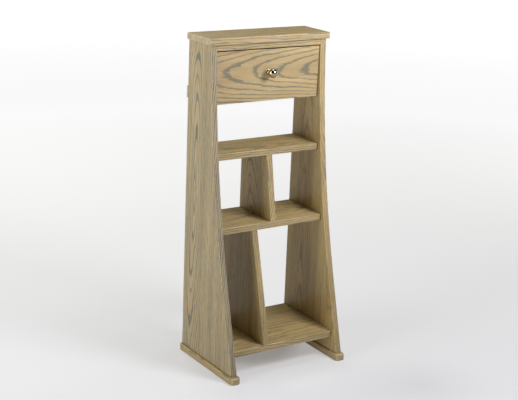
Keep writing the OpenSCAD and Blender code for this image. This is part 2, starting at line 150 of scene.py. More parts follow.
class Graph:
    """The node tree of a material or of the world."""

    MIX_COLOURS = (6, 7)  # the Mix node's two colour inputs
    MIX_RESULT = 2  # and its colour output

    def __init__(self, owner: Union[bpy.types.Material, bpy.types.World]) -> None:
        """Empties the owner's node tree.

        Args:
            owner: a new material or world.
        """
        owner.use_nodes = True
        self.owner = owner
        self.tree = owner.node_tree
        self.tree.nodes.clear()

    def node(
        self, kind: str, settings: dict[str, Any], inputs: dict[Union[str, int], Any]
    ) -> bpy.types.Node:
        """Adds a node.

        Args:
            kind: the node's type.
            settings: its properties, or a list of (place, colour) under "stops" for a colour ramp.
            inputs: the value or the link of each input, by name or number.

        Returns:
            The node.
        """
        node = self.tree.nodes.new(kind)
        for key, value in settings.items():
            if key == "stops":
                self.set_stops(node.color_ramp, value)
            else:
                setattr(node, key, value)
        for key, value in inputs.items():
            if isinstance(value, Sock):
                self.tree.links.new(value.socket, node.inputs[key])
            elif isinstance(value, bpy.types.NodeSocket):
                self.tree.links.new(value, node.inputs[key])
            else:
                node.inputs[key].default_value = value
        return node

    @staticmethod
    def set_stops(ramp: bpy.types.ColorRamp, stops: list[tuple[float, Colour]]) -> None:
        """Gives a colour ramp its stops.

        Args:
            ramp: the ramp of a new node, which has two stops.
            stops: place and colour of each stop, at least two.
        """
        while len(ramp.elements) < len(stops):
            ramp.elements.new(0.5)
        for element, (place, colour) in zip(ramp.elements, stops):
            element.position = place
            element.color = (*colour, 1.0)

    def axes(self, output: str) -> tuple[Sock, Sock, Sock]:
        """Splits an output of the Texture Coordinate node.

        Args:
            output: "Object" or "Normal".

        Returns:
            Its x, y and z.
        """
        source = self.node("ShaderNodeTexCoord", {}, {})
        split = self.node("ShaderNodeSeparateXYZ", {}, {0: source.outputs[output]})
        return tuple(Sock(self, out) for out in split.outputs)

    def vector(self, x: Number, y: Number, z: Number) -> bpy.types.NodeSocket:
        """Joins three numbers to a vector."""
        return self.node("ShaderNodeCombineXYZ", {}, {0: x, 1: y, 2: z}).outputs[0]

    def noise(self, place: bpy.types.NodeSocket, detail: int) -> bpy.types.Node:
        """Adds a Noise Texture.

        Args:
            place: the point at which it is read, in noise cells.
            detail: number of finer layers.

        Returns:
            The node, with outputs Fac and Color.
        """
        inputs = {"Vector": place, "Scale": 1.0, "Detail": detail}
        return self.node("ShaderNodeTexNoise", {}, inputs)

    def parts(self, colour: bpy.types.NodeSocket) -> tuple[Sock, Sock, Sock]:
        """Returns a colour's red, green and blue."""
        split = self.node("ShaderNodeSeparateColor", {}, {0: colour})
        return tuple(Sock(self, out) for out in split.outputs)

    def bump(self, strength: float, height: Sock) -> bpy.types.NodeSocket:
        """Adds a Bump node.

        Args:
            strength: how strongly it shows, from 0 to 1.
            height: height of the surface in mm.

        Returns:
            The normal.
        """
        inputs = {"Strength": strength, "Distance": MM, "Height": height}
        return self.node("ShaderNodeBump", {}, inputs).outputs[0]

    def blend(
        self, share: Number, first: Paint, second: Paint, how: str = "MIX"
    ) -> bpy.types.NodeSocket:
        """Mixes two colours.

        Args:
            share: how much of the second shows, from 0 to 1.
            first: a colour or a link.
            second: a colour or a link.
            how: the Mix node's blend type.

        Returns:
            The mixed colour.
        """
        settings = {"data_type": "RGBA", "blend_type": how}
        node = self.node("ShaderNodeMix", settings, {"Factor": share})
        for number, paint in zip(self.MIX_COLOURS, (first, second)):
            if isinstance(paint, bpy.types.NodeSocket):
                self.tree.links.new(paint, node.inputs[number])
            else:
                node.inputs[number].default_value = (*paint, 1.0)
        return node.outputs[self.MIX_RESULT]

    def finish(self, **sockets: Any) -> bpy.types.Material:
        """Ends a material's tree with a Principled BSDF.

        Args:
            sockets: the shader's inputs, with _ for each space in a name.

        Returns:
            The material.
        """
        inputs = {key.replace("_", " "): value for key, value in sockets.items()}
        shader = self.node("ShaderNodeBsdfPrincipled", {}, inputs)
        self.node("ShaderNodeOutputMaterial", {}, {"Surface": shader.outputs[0]})
        return self.owner


class Grain(Enum):
    """Axes along a board's fibres, across its face and through its thickness: 0 is x, 1 y, 2 z."""

    SHELF = (0, 1, 2)
    RAIL = (0, 2, 1)
    UPRIGHT = (2, 1, 0)
    FOOT = (1, 0, 2)
    BOX_SIDE = (1, 2, 0)


@dataclass(frozen=True)
class Stave:
    """A strip of wood sawn from one log, in millimetres of the tower's frame.

    Attributes:
        heart_across: the log's heart, across the board.
        heart_depth: the log's heart at the frame's origin, through the board's thickness.
        rise: how far the heart moves through the thickness for each millimetre along the fibres.
        seed: a number that makes its figure its own.
        start: where the strip starts across a board that is glued from several.
        drift: how far the heart moves across the board for each millimetre along the fibres.
        ring: width of a growth ring.
    """

    heart_across: float
    heart_depth: float
    rise: float
    seed: float
    start: float = 0.0
    drift: float = 0.0
    ring: float = 5.0


@dataclass(frozen=True)
class Cut:
    """How a board was laid out.

    Attributes:
        grain: the board's axes.
        staves: the strips that it is glued from.
        tone: its red, green and blue against the other boards; on the outer side and the inner
            boards it is partly painted light and painted shade.
        calm: how little its rings wander, from 0 to 1.
        bold: how strongly its bands show against those of the other boards.
    """

    grain: Grain
    staves: tuple[Stave, ...]
    tone: Colour = WHITE
    calm: float = 0.0
    bold: float = 1.0


@dataclass(frozen=True)
class Flecks:
    """Noise that is drawn out along the fibres.

    Attributes:
        length: length of a fleck in mm.
        width: its width in mm.
        detail: number of finer layers.
        shift: a shift that keeps it apart from the other noises.
    """

    length: float
    width: float
    detail: int
    shift: float


@dataclass(frozen=True)
class Spot:
    """The point of a board at which its material is read. Lengths are in mm.

    Attributes:
        graph: the material's graph.
        along: its place along the fibres.
        across: its place across the board.
        through: its place through the thickness.
        stave: the numbers of its stave, by the names of Stave's fields.
    """

    graph: Graph
    along: Sock
    across: Sock
    through: Sock
    stave: dict[str, Number]

    def noise(self, flecks: Flecks) -> bpy.types.Node:
        """Adds noise of those flecks.

        Args:
            flecks: their size.

        Returns:
            The node, with outputs Fac and Color.
        """
        place = self.graph.vector(
            self.along / flecks.length + flecks.shift,
            self.across / flecks.width + self.stave["seed"],
            self.through / flecks.width + flecks.shift,
        )
        return self.graph.noise(place, flecks.detail)

    def swing(self, flecks: Flecks) -> Sock:
        """Returns how far such noise is from its mean."""
        return Sock(self.graph, self.noise(flecks).outputs["Fac"]) - NOISE_MEAN


@dataclass(frozen=True)
class Amounts:
    """How much each feature of the wood adds to one of its qualities.

    Attributes:
        early: the open early wood.
        pore: the pores.
        end: end grain.
        fibre: bundles of fibres.
        hair: single fibres.
        cloud: broad lighter and darker areas.
        lot: what differs from ring to ring.
        base: the quality where the wood has none of these.
    """

    early: float = 0.0
    pore: float = 0.0
    end: float = 0.0
    fibre: float = 0.0
    hair: float = 0.0
    cloud: float = 0.0
    lot: float = 0.0
    base: float = 0.0

    def total(self, features: dict[str, Sock]) -> Sock:
        """Adds them up.

        Args:
            features: how far each feature is there, by the names above.

        Returns:
            The quality.
        """
        total: Number = self.base
        for name, feature in features.items():
            if getattr(self, name):
                total = feature * getattr(self, name) + total
        return total


@dataclass(frozen=True)
class Wood:
    """Satin-finished, ring-porous wood with its growth rings, fibres and pores. Lengths are in mm.

    Attributes:
        ground: colour of the dense late wood.
        band: colour of the open early wood, where the grey stain stays.
        deep: colour in the pores.
        worn: colour of end grain.
        edge: bluer tone of the narrow edges: painted cool light, as if a cool lamp lit the front
            edges.
        figure: how strongly the bands show.
        wobble: how far a ring wanders.
        wavy: how far it bends from one hand's width to the next.
        ragged: how far the fibres fray a band's edge.
        open_share: mean share of a ring that is open early wood.
        open_spread: how much that share differs from ring to ring.
        faint: how much fainter the faintest band is.
        onset: share of a ring in which its open wood starts.
        fade: share of a ring in which its open wood ends.
        closed: share of the pores that show in the dense wood.
        pore_limits: noise between which a pore has its edge.
        arris_limits: how far off the board's axes an arris starts and is fully there.
        side_limits: how squarely a face looks along an axis before it counts as that side.
        arris_wear_and_highlight: how much lighter the arrises are, partly wear and partly a
            painted highlight.
        pore_depth: how dark the pores are.
        end_wear: how far end grain has its own colour.
        satin: roughness of the dense wood.
        relief_strength: how strongly the relief shows.
        specular: strength of the wood's own reflection.
        coat: share of the lacquer.
        coat_rough: its roughness.
    """

    ground: Colour = (0.490, 0.352, 0.165)
    band: Colour = (0.200, 0.184, 0.118)
    deep: Colour = (0.110, 0.094, 0.062)
    worn: Colour = (0.440, 0.400, 0.340)
    # painted light: this bluer tint on the narrow edges stands in for cool light falling on the
    # front edges
    edge: Colour = (1.0, 1.03, 1.18)
    figure: float = 0.90
    wobble: float = 9.0
    wavy: float = 2.2
    ragged: float = 1.7
    open_share: float = 0.23
    open_spread: float = 0.9
    faint: float = 0.4
    onset: float = 0.07
    fade: float = 0.22
    closed: float = 0.25
    pore_limits: tuple[float, float] = (0.56, 0.66)
    arris_limits: tuple[float, float] = (0.10, 0.27)
    side_limits: tuple[float, float] = (0.6, 0.95)
    # lighter arrises: partly wear, partly a painted highlight
    arris_wear_and_highlight: float = 0.35
    pore_depth: float = 0.7
    end_wear: float = 0.4
    satin: float = 0.44
    relief_strength: float = 0.55
    specular: float = 0.2
    coat: float = 0.25
    coat_rough: float = 0.22

    wander_flecks: Flecks = Flecks(230, 75, 1, 3.7)
    wave_flecks: Flecks = Flecks(60, 17, 1, 5.9)
    fray_flecks: Flecks = Flecks(26, 1.8, 2, 11.3)
    fibre_flecks: Flecks = Flecks(150, 4.5, 3, 5.1)
    hair_flecks: Flecks = Flecks(26, 0.55, 1, 7.9)
    cloud_flecks: Flecks = Flecks(240, 22, 2, 1.3)
    pore_flecks: Flecks = Flecks(5.5, 0.33, 0, 9.2)

    stain: Amounts = Amounts(fibre=1.8, hair=1.4, base=0.13)
    light: Amounts = Amounts(fibre=0.90, hair=0.40, cloud=0.65, lot=0.08, base=0.99)
    relief: Amounts = Amounts(early=-0.10, pore=-0.22, fibre=0.05, hair=0.10)
    roughness: Amounts = Amounts(early=0.12, pore=0.15, end=0.12, fibre=0.10)

    def spot(self, graph: Graph, cut: Cut) -> Spot:
        """Finds the place on the board and the numbers of the stave there.

        Args:
            graph: the material's graph.
            cut: how the board was laid out.

        Returns:
            The spot.
        """
        point = graph.axes("Object")
        along, across, through = (point[axis] * (1 / MM) for axis in cut.grain.value)
        numbers: dict[str, Number] = {}
        for name in ("heart_across", "heart_depth", "rise", "seed", "drift", "ring"):
            value: Number = getattr(cut.staves[0], name)
            for last, stave in zip(cut.staves, cut.staves[1:]):
                step = getattr(stave, name) - getattr(last, name)
                value = across.above(stave.start) * step + value
            numbers[name] = value
        return Spot(graph, along, across, through, numbers)

    def growth(self, spot: Spot, calm: float) -> tuple[Sock, Sock]:
        """Grows the rings round the heart of the spot's stave.

        Args:
            spot: the spot.
            calm: how little the rings wander, from 0 to 1.

        Returns:
            How far the spot is in open early wood, and what its ring was dealt, from 0 to 1.
        """
        stave = spot.stave
        wander = spot.graph.parts(spot.noise(self.wander_flecks).outputs["Color"])
        wander_a, wander_t, wander_r = (part - NOISE_MEAN for part in wander)
        stray = FULL_SWING * self.wobble * (1 - calm)
        side = spot.across - spot.along * stave["drift"] - stave["heart_across"] + wander_a * stray
        depth = spot.through + spot.along * stave["rise"] - stave["heart_depth"] + wander_t * stray
        bend = spot.swing(self.wave_flecks) * (FULL_SWING * self.wavy)
        fray = spot.swing(self.fray_flecks) * (FULL_SWING * self.ragged)
        radius = (side * side + depth * depth).root() + fray + bend
        ring = radius / stave["ring"] + wander_r * (FULL_SWING * (1 - calm))
        number = ring.floor()
        age = ring - number
        lot = spot.graph.node(
            "ShaderNodeTexWhiteNoise", {"noise_dimensions": "1D"}, {"W": number + stave["seed"]}
        )
        lot_width, lot_strength, lot_tone = spot.graph.parts(lot.outputs["Color"])
        width = (lot_width * self.open_spread + (1 - self.open_spread / 2)) * self.open_share
        strength = lot_strength * self.faint + (1 - self.faint)
        opened = age.smooth(0.0, self.onset) * (1.0 - age.smooth(width, width + self.fade))
        return opened * strength, lot_tone

    def material(self, name: str, cut: Cut) -> bpy.types.Material:
        """Makes this wood as it shows on one board.

        Args:
            name: the material's name.
            cut: how the board was laid out.

        Returns:
            The material.
        """
        graph = Graph(bpy.data.materials.new(name))
        spot = self.spot(graph, cut)
        early, lot = self.growth(spot, cut.calm)
        pore = Sock(graph, spot.noise(self.pore_flecks).outputs["Fac"]).smooth(*self.pore_limits)

        normal = graph.axes("Normal")
        flat = normal[0].size().most(normal[1].size()).most(normal[2].size())
        arris = (1.0 - flat).smooth(*self.arris_limits)
        end, painted_edge_light_mask, _ = (
            normal[axis].size().smooth(*self.side_limits) for axis in cut.grain.value
        )
        features = {
            "early": early,
            "pore": pore * (early * (1 - self.closed) + self.closed),
            "end": end,
            "fibre": spot.swing(self.fibre_flecks),
            "hair": spot.swing(self.hair_flecks),
            "cloud": spot.swing(self.cloud_flecks),
            "lot": lot,
        }

        share = early * (self.figure * cut.bold) + self.stain.total(features)
        colour = graph.blend(share, self.ground, self.band)
        colour = graph.blend(features["pore"] * self.pore_depth, colour, self.deep)
        colour = graph.blend(end * self.end_wear, colour, self.worn)
        # painted light: the narrow edges are tinted bluer, as if lit by cool light from the front
        colour = graph.blend(painted_edge_light_mask, colour, self.edge, "MULTIPLY")
        # the arrises are painted lighter: partly wear, partly a painted highlight
        light = self.light.total(features) * (arris * self.arris_wear_and_highlight + 1.0)
        tint = graph.vector(*(light * part for part in cut.tone))
        colour = graph.blend(1.0, colour, tint, "MULTIPLY")
        return graph.finish(
            Base_Color=colour,
            Roughness=self.roughness.total(features) + self.satin,
            Normal=graph.bump(self.relief_strength, self.relief.total(features)),
            Specular_IOR_Level=self.specular,
            Coat_Weight=self.coat,
            Coat_Roughness=self.coat_rough,
        )


@dataclass(frozen=True)
class Metal:
    """Bare or plated metal with faint handling marks.

    Attributes:
        colour: its reflection straight on.
        rough: roughness where it is clean.
        dull: roughness that finger marks add.
        grit: height of its fine scratches in mm.
        smear_size: size of a finger mark along x, y and z, in metres.
        scratch_size: size of a scratch along x, y and z, in metres.
        smear_limits: noise between which a finger mark has its edge.
        tarnish: how far a finger mark takes on its darker tone.
        tarnish_tone: that tone, against the clean metal.
        scratch_strength: how strongly the scratches show.
    """

    colour: Colour = (0.42, 0.35, 0.23)
    rough: float = 0.07
    dull: float = 0.10
    grit: float = 0.002
    smear_size: tuple[float, float, float] = (0.009, 0.009, 0.006)
    scratch_size: tuple[float, float, float] = (0.0007, 0.003, 0.0007)
    smear_limits: tuple[float, float] = (0.45, 0.75)
    tarnish: float = 0.25
    tarnish_tone: float = 0.82
    scratch_strength: float = 0.4

    def material(self, name: str) -> bpy.types.Material:
        """Makes the metal's material.

        Args:
            name: the material's name.

        Returns:
            The material.
        """
        graph = Graph(bpy.data.materials.new(name))
        point = graph.axes("Object")
        smear, scratch = (
            Sock(graph, graph.noise(
                graph.vector(*(axis / length for axis, length in zip(point, size))), detail=2
            ).outputs["Fac"])
            for size in (self.smear_size, self.scratch_size)
        )
        marks = smear.smooth(*self.smear_limits)
        darker = tuple(self.tarnish_tone * part for part in self.colour)
        return graph.finish(
            Base_Color=graph.blend(marks * self.tarnish, self.colour, darker),
            Metallic=1.0,
            Roughness=marks * self.dull + self.rough,
            Normal=graph.bump(self.scratch_strength, scratch * self.grit),
        )


def alone(obj: bpy.types.Object) -> None:
    """Selects one object and nothing else.

    Args:
        obj: the object, which becomes the active one.
    """
    bpy.ops.object.select_all(action="DESELECT")
    obj.select_set(True)
    bpy.context.view_layer.objects.active = obj


def in_edit_mode(obj: bpy.types.Object) -> None:
    """Opens obj alone in edit mode."""
    alone(obj)
    bpy.ops.object.mode_set(mode="EDIT")


def out_of_edit_mode() -> None:
    """Goes back to object mode."""
    bpy.ops.object.mode_set(mode="OBJECT")


def apply_modifier(obj: bpy.types.Object, kind: str, **settings: Any) -> None:
    """Adds a modifier and applies it.

    Args:
        obj: the piece, in object mode.
        kind: the modifier's type.
        settings: its properties.
    """
    alone(obj)
    modifier = obj.modifiers.new(kind.lower(), kind)
    for key, value in settings.items():
        setattr(modifier, key, value)
    bpy.ops.object.modifier_apply(modifier=modifier.name)


def wear(obj: bpy.types.Object, material: bpy.types.Material) -> None:
    """Makes that material the object's only one."""
    obj.data.materials.clear()
    obj.data.materials.append(material)


@dataclass
class Joiner:
    """Makes the boards: each takes a packed board's shape, with softly rounded arrises.

    Attributes:
        soft: width of the rounding on the arrises, in metres.
        rounds: segments of that rounding.
        shortest: edges shorter than this stay as they are, such as those of screw holes.
        sharpest: edges that turn by less than this angle stay as they are.
        square: edges that turn by less than this angle get a narrower rounding.
        narrow: width of that one, as a share of the full width.
        smooth: edges that turn by less than this angle are shaded smoothly.
        flat: width of the flat that eases a leaning front edge, along each face.
        leaning: the boards with such a front.
        front_length: the least height of a leaning front edge.
        front_lean: the least that it leans back for each metre of height.
        nick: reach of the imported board's nick at the lower end of that edge.
        stray: reach of the spare points at its upper end.
        level: faces that turn by less than this angle are one face.
        close: points that are closer than this are one point.
        hair: width below which a face of the rounding is closed up.
    """

    soft: float = 0.9 * MM
    rounds: int = 3
    shortest: float = 3.0 * MM
    sharpest: float = math.radians(25)
    square: float = math.radians(60)
    narrow: float = 0.5
    smooth: float = math.radians(38)
    flat: float = 1.2 * MM
    leaning: tuple[str, ...] = ("side_left", "side_right", "upper_divider", "lower_divider")
    front_length: float = 100 * MM
    front_lean: float = 0.1
    nick: float = 3.6 * MM
    stray: float = 5.0 * MM
    level: float = math.radians(0.1)
    close: float = 0.02 * MM
    hair: float = 0.005 * MM

    def board(
        self, node: str, body: str, slot: str, wood: Wood, cut: Cut, shortest: float | None = None
    ) -> bpy.types.Object:
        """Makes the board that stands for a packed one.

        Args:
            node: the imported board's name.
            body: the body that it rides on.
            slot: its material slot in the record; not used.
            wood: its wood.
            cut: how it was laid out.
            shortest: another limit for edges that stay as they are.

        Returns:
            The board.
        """
        alone(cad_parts[node])
        bpy.ops.object.duplicate()
        obj = bpy.context.view_layer.objects.active
        obj.name = f"oak_{node}"
        obj.data.name = obj.name
        for key in list(obj.keys()):
            del obj[key]
        self.merge_flat(obj, self.close / 10)
        if node in self.leaning:
            self.ease_front(obj)
        self.soften(obj, self.shortest if shortest is None else shortest)
        wear(obj, wood.material(obj.name, cut))
        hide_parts(node)
        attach(obj, body)
        return obj

    def merge_flat(self, obj: bpy.types.Object, close: float) -> None:
        """Merges double points, and then the faces that lie in one plane.

        Args:
            obj: the board.
            close: points that are closer than this are one point.
        """
        in_edit_mode(obj)
        bpy.ops.mesh.select_all(action="SELECT")
        bpy.ops.mesh.remove_doubles(threshold=close)
        bpy.ops.mesh.dissolve_limited(angle_limit=self.level)
        out_of_edit_mode()

    def ease_front(self, obj: bpy.types.Object) -> None:
        """Eases the front edges of a board along its whole straight lean.

        Args:
            obj: the board, whose front edges are only nicked at their lower ends.
        """
        mesh = obj.data
        fronts = [self.square_up(mesh, *front) for front in self.front_edges(mesh)]
        in_edit_mode(obj)
        bpy.ops.mesh.select_all(action="SELECT")
        bpy.ops.mesh.remove_doubles(threshold=self.close / 2)
        bpy.ops.mesh.select_mode(type="EDGE")
        bpy.ops.mesh.select_all(action="DESELECT")
        out_of_edit_mode()
        for edge in mesh.edges:
            ends = self.low_first(mesh, edge)
            edge.select = any(
                all((end - place).length < self.flat / 10 for end, place in zip(ends, front))
                for front in fronts
            )
        in_edit_mode(obj)
        bpy.ops.mesh.bevel(offset=self.flat, segments=1, affect="EDGES", clamp_overlap=False)
        bpy.ops.mesh.select_mode(type="VERT")
        out_of_edit_mode()
        self.merge_flat(obj, self.close)

    @staticmethod
    def low_first(mesh: bpy.types.Mesh, edge: bpy.types.MeshEdge) -> list[Vector]:
        """Returns an edge's two ends, the lower one first."""
        return sorted((mesh.vertices[k].co for k in edge.vertices), key=lambda place: place.z)

    def front_edges(self, mesh: bpy.types.Mesh) -> list[tuple[Vector, Vector]]:
        """Finds the long square edges that lean back as they rise.

        Args:
            mesh: the board's mesh.

        Returns:
            The lower and the upper end of each.
        """
        turn = self.edge_turns(mesh)
        fronts = []
        for edge in mesh.edges:
            low, high = self.low_first(mesh, edge)
            run = high - low
            rising = abs(run.x) < self.close and run.z > self.front_length
            leaning = rising and run.y > run.z * self.front_lean
            if leaning and turn.get(edge.key, 0.0) > self.square:
                fronts.append((low.copy(), high.copy()))
        return fronts

    def square_up(self, mesh: bpy.types.Mesh, low: Vector, high: Vector) -> tuple[Vector, Vector]:
        """Closes the nick below a front edge, and gathers the spare points at its upper end.

        Args:
            mesh: the board's mesh, whose points are moved.
            low: the edge's lower end, over the nick.
            high: its upper end, under the spare points.

        Returns:
            The new lower and upper end.
        """
        along = (high - low).normalized()
        points = [vertex.co for vertex in mesh.vertices]
        nicked = [k for k, p in enumerate(points) if (p - low).length < self.nick and p.z <= low.z]
        spare = [
            k
            for k, p in enumerate(points)
            if (p - high).length < self.stray and (p - high).cross(along).length < self.close
        ]
        foot = min(points[k].z for k in nicked)
        corner = low - along * ((low.z - foot) / along.z)
        top = max((points[k] for k in spare), key=lambda place: place.z).copy()
        for group, place in ((nicked, corner), (spare, top)):
            for k in group:
                mesh.vertices[k].co = place
        return corner, top

    def soften(self, obj: bpy.types.Object, shortest: float) -> None:
        """Rounds the long edges and shades the board smoothly.

        Args:
            obj: the board.
            shortest: edges shorter than this stay as they are.
        """
        mesh = obj.data
        weights = mesh.attributes.new("bevel_weight_edge", "FLOAT", "EDGE")
        turn = self.edge_turns(mesh)
        for edge in mesh.edges:
            start, end = (mesh.vertices[k].co for k in edge.vertices)
            angle = turn.get(edge.key, 0.0)
            if (end - start).length >= shortest and angle >= self.sharpest:
                weights.data[edge.index].value = 1.0 if angle > self.square else self.narrow
        apply_modifier(obj, "BEVEL", limit_method="WEIGHT", width=self.soft, segments=self.rounds)
        in_edit_mode(obj)
        bpy.ops.mesh.select_all(action="SELECT")
        bpy.ops.mesh.remove_doubles(threshold=self.hair)
        bpy.ops.mesh.dissolve_degenerate(threshold=self.hair)
        out_of_edit_mode()
        alone(obj)
        bpy.ops.object.shade_smooth_by_angle(angle=self.smooth)
        apply_modifier(obj, "WEIGHTED_NORMAL", keep_sharp=True)

    @staticmethod
    def edge_turns(mesh: bpy.types.Mesh) -> dict[tuple[int, int], float]:
        """Measures how far the surface turns at each edge.

        Args:
            mesh: a closed mesh.

        Returns:
            The angle between the two faces of each edge, by the edge's key.
        """
        faces: dict[tuple[int, int], list[Vector]] = {}
        for face in mesh.polygons:
            for key in face.edge_keys:
                faces.setdefault(key, []).append(face.normal)
        return {key: pair[0].angle(pair[1]) for key, pair in faces.items() if len(pair) == 2}


@dataclass
class Carcase:
    """The fixed boards: top, sides, rails, shelves, dividers, feet, wall cleat and runners.

    Attributes:
        joiner: makes the boards.
        oak: the boards' wood.
        plain: the runners' wood.
        body: the body that they ride on.
        slot: the oak's material slot.
        round_ended: the boards whose corners are rounded by short edges.
        short: edges shorter than this stay as they are on those.
    """

    joiner: Joiner
    oak: Wood
    plain: Wood
    body: str = "carcase"
    slot: str = "carcase_wood"
    round_ended: tuple[str, ...] = ("top_board", "foot_left", "foot_right")
    short: float = 0.8 * MM

    def lay_out(self) -> dict[str, Cut]:
        """Chooses each board's cut.

        Returns:
            The cut of each oak board, by its node.
        """
        side_left = (
            Stave(-310, 40, 0.004, 4.0),
            Stave(-330, 100, -0.004, 9.0, start=-45),
            Stave(108, -243.8, -0.09, 14.0, start=60, drift=-0.02, ring=7.0),
        )
        side_right = (
            Stave(-95, 240, 0.020, 21.0),
            Stave(66, 193, -0.050, 26.0, start=-20, drift=0.01),
        )
        upper_divider = (
            Stave(-250, 140, 0.004, 51.0),
            Stave(48, 6.0, -0.10, 53.0, start=-5, drift=0.07),
        )
        # painted light and shade: the outer side's bluer, darker tone stands in for cool light
        # from the left, and the inner boards' yellower tone for warm shade in the bays; both are
        # partly the boards' own differing tone
        cool_lit_tone = (0.86, 0.90, 0.98)
        warm_shade_tone = (0.97, 0.95, 0.81)
        foot = (1.0, 0.97, 0.86)
        return {
            "top_board": Cut(Grain.SHELF, (Stave(165, 890, 0.020, 31.0),), (1.0, 0.99, 0.93)),
            "side_left": Cut(Grain.UPRIGHT, side_left, cool_lit_tone, calm=0.3, bold=1.3),
            "side_right": Cut(Grain.UPRIGHT, side_right, warm_shade_tone, bold=0.7),
            "top_rail": Cut(Grain.RAIL, (Stave(900, 90, 0.010, 36.0, ring=4.0),)),
            "back_rail": Cut(Grain.RAIL, (Stave(930, 190, 0.015, 38.0),)),
            "upper_shelf": Cut(Grain.SHELF, (Stave(40, 560, 0.020, 41.0),), warm_shade_tone),
            "middle_shelf": Cut(Grain.SHELF, (Stave(60, 500, -0.03, 45.0),), warm_shade_tone),
            "bottom_shelf": Cut(Grain.SHELF, (Stave(-40, 0, 0.025, 49.0, ring=6.0),), warm_shade_tone),
            "upper_divider": Cut(Grain.UPRIGHT, upper_divider, warm_shade_tone, calm=0.5),
            "lower_divider": Cut(Grain.UPRIGHT, (Stave(-240, 150, 0.006, 57.0),), warm_shade_tone),
            "foot_left": Cut(Grain.FOOT, (Stave(-260, 60, 0.01, 61.0),), foot),
            "foot_right": Cut(Grain.FOOT, (Stave(130, -70, 0.01, 65.0),), foot),
            "wall_cleat": Cut(Grain.RAIL, (Stave(760, 60, 0.01, 69.0),)),
        }

    def build(self) -> list[bpy.types.Object]:
        """Makes the boards.

        Returns:
            The boards, oak ones first.
        """
        boards = []
        for node, cut in self.lay_out().items():
            short = self.short if node in self.round_ended else None
            boards.append(self.joiner.board(node, self.body, self.slot, self.oak, cut, short))
        for number, node in enumerate(("runner_left", "runner_right")):
            cut = Cut(Grain.BOX_SIDE, (Stave(900, 60 * number, 0.01, 73.0 + number, ring=4.0),))
            boards.append(self.joiner.board(node, self.body, "box_wood", self.plain, cut))
        return boards


@dataclass
class Drawer:
    """The drawer's oak front and its plain box.

    Attributes:
        joiner: makes the boards.
        oak: the front's wood.
        plain: the box's wood.
        front: how the front was laid out.
        body: the body that they ride on.
    """

    joiner: Joiner
    oak: Wood
    plain: Wood
    front: Cut = Cut(Grain.RAIL, (Stave(878, 94.7, 0.088, 113.0, ring=8.2),), calm=0.5, bold=1.15)
    body: str = "drawer"

    def lay_out(self) -> dict[str, Cut]:
        """Chooses the cut of the box's boards.

        Returns:
            The cut of each board, by its node.
        """
        return {
            "drawer_box_front": Cut(Grain.RAIL, (Stave(820, 190, 0.010, 85.0),)),
            "drawer_back": Cut(Grain.RAIL, (Stave(880, 210, 0.012, 88.0),)),
            "drawer_side_left": Cut(Grain.BOX_SIDE, (Stave(830, -60, 0.012, 91.0, ring=4.5),)),
            "drawer_side_right": Cut(Grain.BOX_SIDE, (Stave(850, 40, 0.015, 94.0, ring=4.5),)),
            "drawer_bottom": Cut(Grain.SHELF, (Stave(60, 700, 0.015, 97.0, ring=6.0),)),
        }

    def build(self) -> list[bpy.types.Object]:
        """Makes the front and the box.

        Returns:
            The boards, the front first.
        """
        slot = "drawer_front_wood"
        boards = [self.joiner.board("drawer_front", self.body, slot, self.oak, self.front)]
        for node, cut in self.lay_out().items():
            boards.append(self.joiner.board(node, self.body, "box_wood", self.plain, cut))
        return boards


